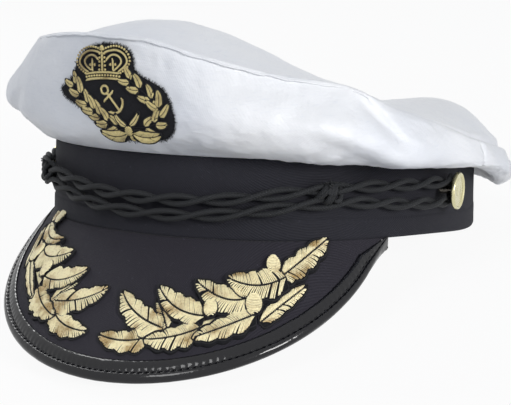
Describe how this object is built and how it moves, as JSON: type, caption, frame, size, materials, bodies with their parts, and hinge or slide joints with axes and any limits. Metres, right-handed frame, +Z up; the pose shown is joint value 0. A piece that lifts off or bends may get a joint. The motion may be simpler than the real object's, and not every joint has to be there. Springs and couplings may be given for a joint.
{
  "type": "peaked cap",
  "caption": "Soft white peaked cap with a black band, stiff visor with gold leaf embroidery, front badge, side buttons and a twisted chin cord.",
  "frame": {"origin": "on the surface that the cap lies on, below the middle of its outer box", "axes": "+Z up, the visor points to -Y, the wearer's left is +X; the cap lies on the back of its band and the front edge of its visor"},
  "size_m": [0.2062, 0.278, 0.1196],
  "materials": {
    "white_satin": "satin white cloth with a soft sheen",
    "black_cloth": "fine black twill",
    "visor_cloth": "dark charcoal cloth",
    "lining": "thin plain lining",
    "foam": "soft foam sheet",
    "stiffener": "thin plain sheet",
    "sweatband": "matt black leathercloth",
    "black_vinyl": "glossy black patent",
    "gold_thread": "pale gold satin stitch",
    "black_felt": "black felt",
    "button_metal": "pale polished metal",
    "pin_metal": "plain steel",
    "black_cord": "twisted black cord"
  },
  "bodies": {
    "cap": {"band_cover": "black_cloth", "band_stiffener": "stiffener", "sweatband": "sweatband", "crown_top_panel": "white_satin", "crown_front_panel": "white_satin", "crown_back_panel": "white_satin", "crown_top_lining": "lining", "crown_side_lining": "lining", "crown_front_foam": "foam", "visor_top_cover": "visor_cloth", "visor_board": "stiffener", "visor_under_cover": "visor_cloth", "visor_edge_binding": "black_vinyl", "visor_spray_left": "gold_thread", "visor_spray_right": "gold_thread", "badge_patch": "black_felt", "badge_crown": "gold_thread", "badge_anchor": "gold_thread", "badge_wreath_left": "gold_thread", "badge_wreath_right": "gold_thread", "badge_bow": "gold_thread"},
    "button_left": {"button_left_head": "button_metal", "button_left_shank": "pin_metal", "button_left_washer": "pin_metal"},
    "button_right": {"button_right_head": "button_metal", "button_right_shank": "pin_metal", "button_right_washer": "pin_metal"},
    "chin_cord": {"chin_cord_upper": "black_cord", "chin_cord_lower": "black_cord", "chin_cord_knot_left": "black_cord", "chin_cord_knot_right": "black_cord"}
  },
  "joints": [
    {"name": "button_left_turn", "type": "hinge", "parent": "cap", "child": "button_left", "pos_m": [0.08955, -0.00459, 0.04274], "axis": [1, 0, 0], "continuous": true},
    {"name": "button_right_turn", "type": "hinge", "parent": "cap", "child": "button_right", "pos_m": [-0.08165, -0.00459, 0.04274], "axis": [1, 0, 0], "continuous": true},
    {"name": "chin_cord_swing", "type": "hinge", "parent": "cap", "child": "chin_cord", "pos_m": [0.00395, -0.00459, 0.04274], "axis": [1, 0, 0], "range_deg": [-4, 5]}
  ]
}
